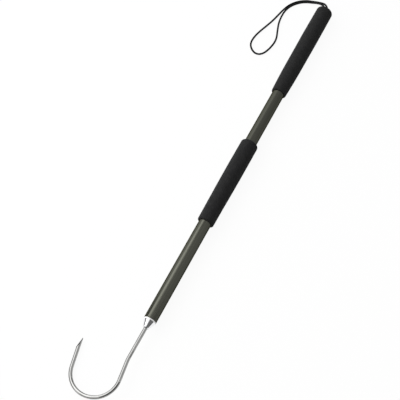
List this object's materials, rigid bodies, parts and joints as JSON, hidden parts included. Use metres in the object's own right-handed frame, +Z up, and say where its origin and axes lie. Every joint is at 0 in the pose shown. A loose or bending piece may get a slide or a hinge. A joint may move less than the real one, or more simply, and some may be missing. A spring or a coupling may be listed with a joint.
{
  "type": "fishing gaff",
  "caption": "Hand gaff for landing fish: straight aluminium pole, foam grips, polished nose ferrule, large round-bend steel hook with a ground point, and a cord lanyard loop at the butt.",
  "frame": {"origin": "on the surface the gaff lies on, at the middle of the rectangle that it covers without its lanyard cord", "axes": "+X along the pole from the hook towards the butt, +Y towards the hook's point side, +Z up"},
  "size_m": [0.9989, 0.1314, 0.036],
  "materials": {
    "anodised_tube": "satin",
    "grip_foam": "matte",
    "plug_plastic": "matte",
    "polished_ferrule": "polished",
    "hook_steel": "polished",
    "fastener_steel": "satin",
    "lanyard_cord": "matte"
  },
  "bodies": {
    "root": {"pole_tube": "anodised_tube", "fore_grip": "grip_foam", "butt_grip": "grip_foam", "butt_plug": "plug_plastic", "nose_ferrule": "polished_ferrule", "gaff_hook": "hook_steel", "hook_washer": "fastener_steel", "hook_lock_nut": "fastener_steel", "hook_cross_pin": "fastener_steel", "lanyard_cord": "lanyard_cord", "lanyard_knot": "lanyard_cord"}
  },
  "joints": []
}
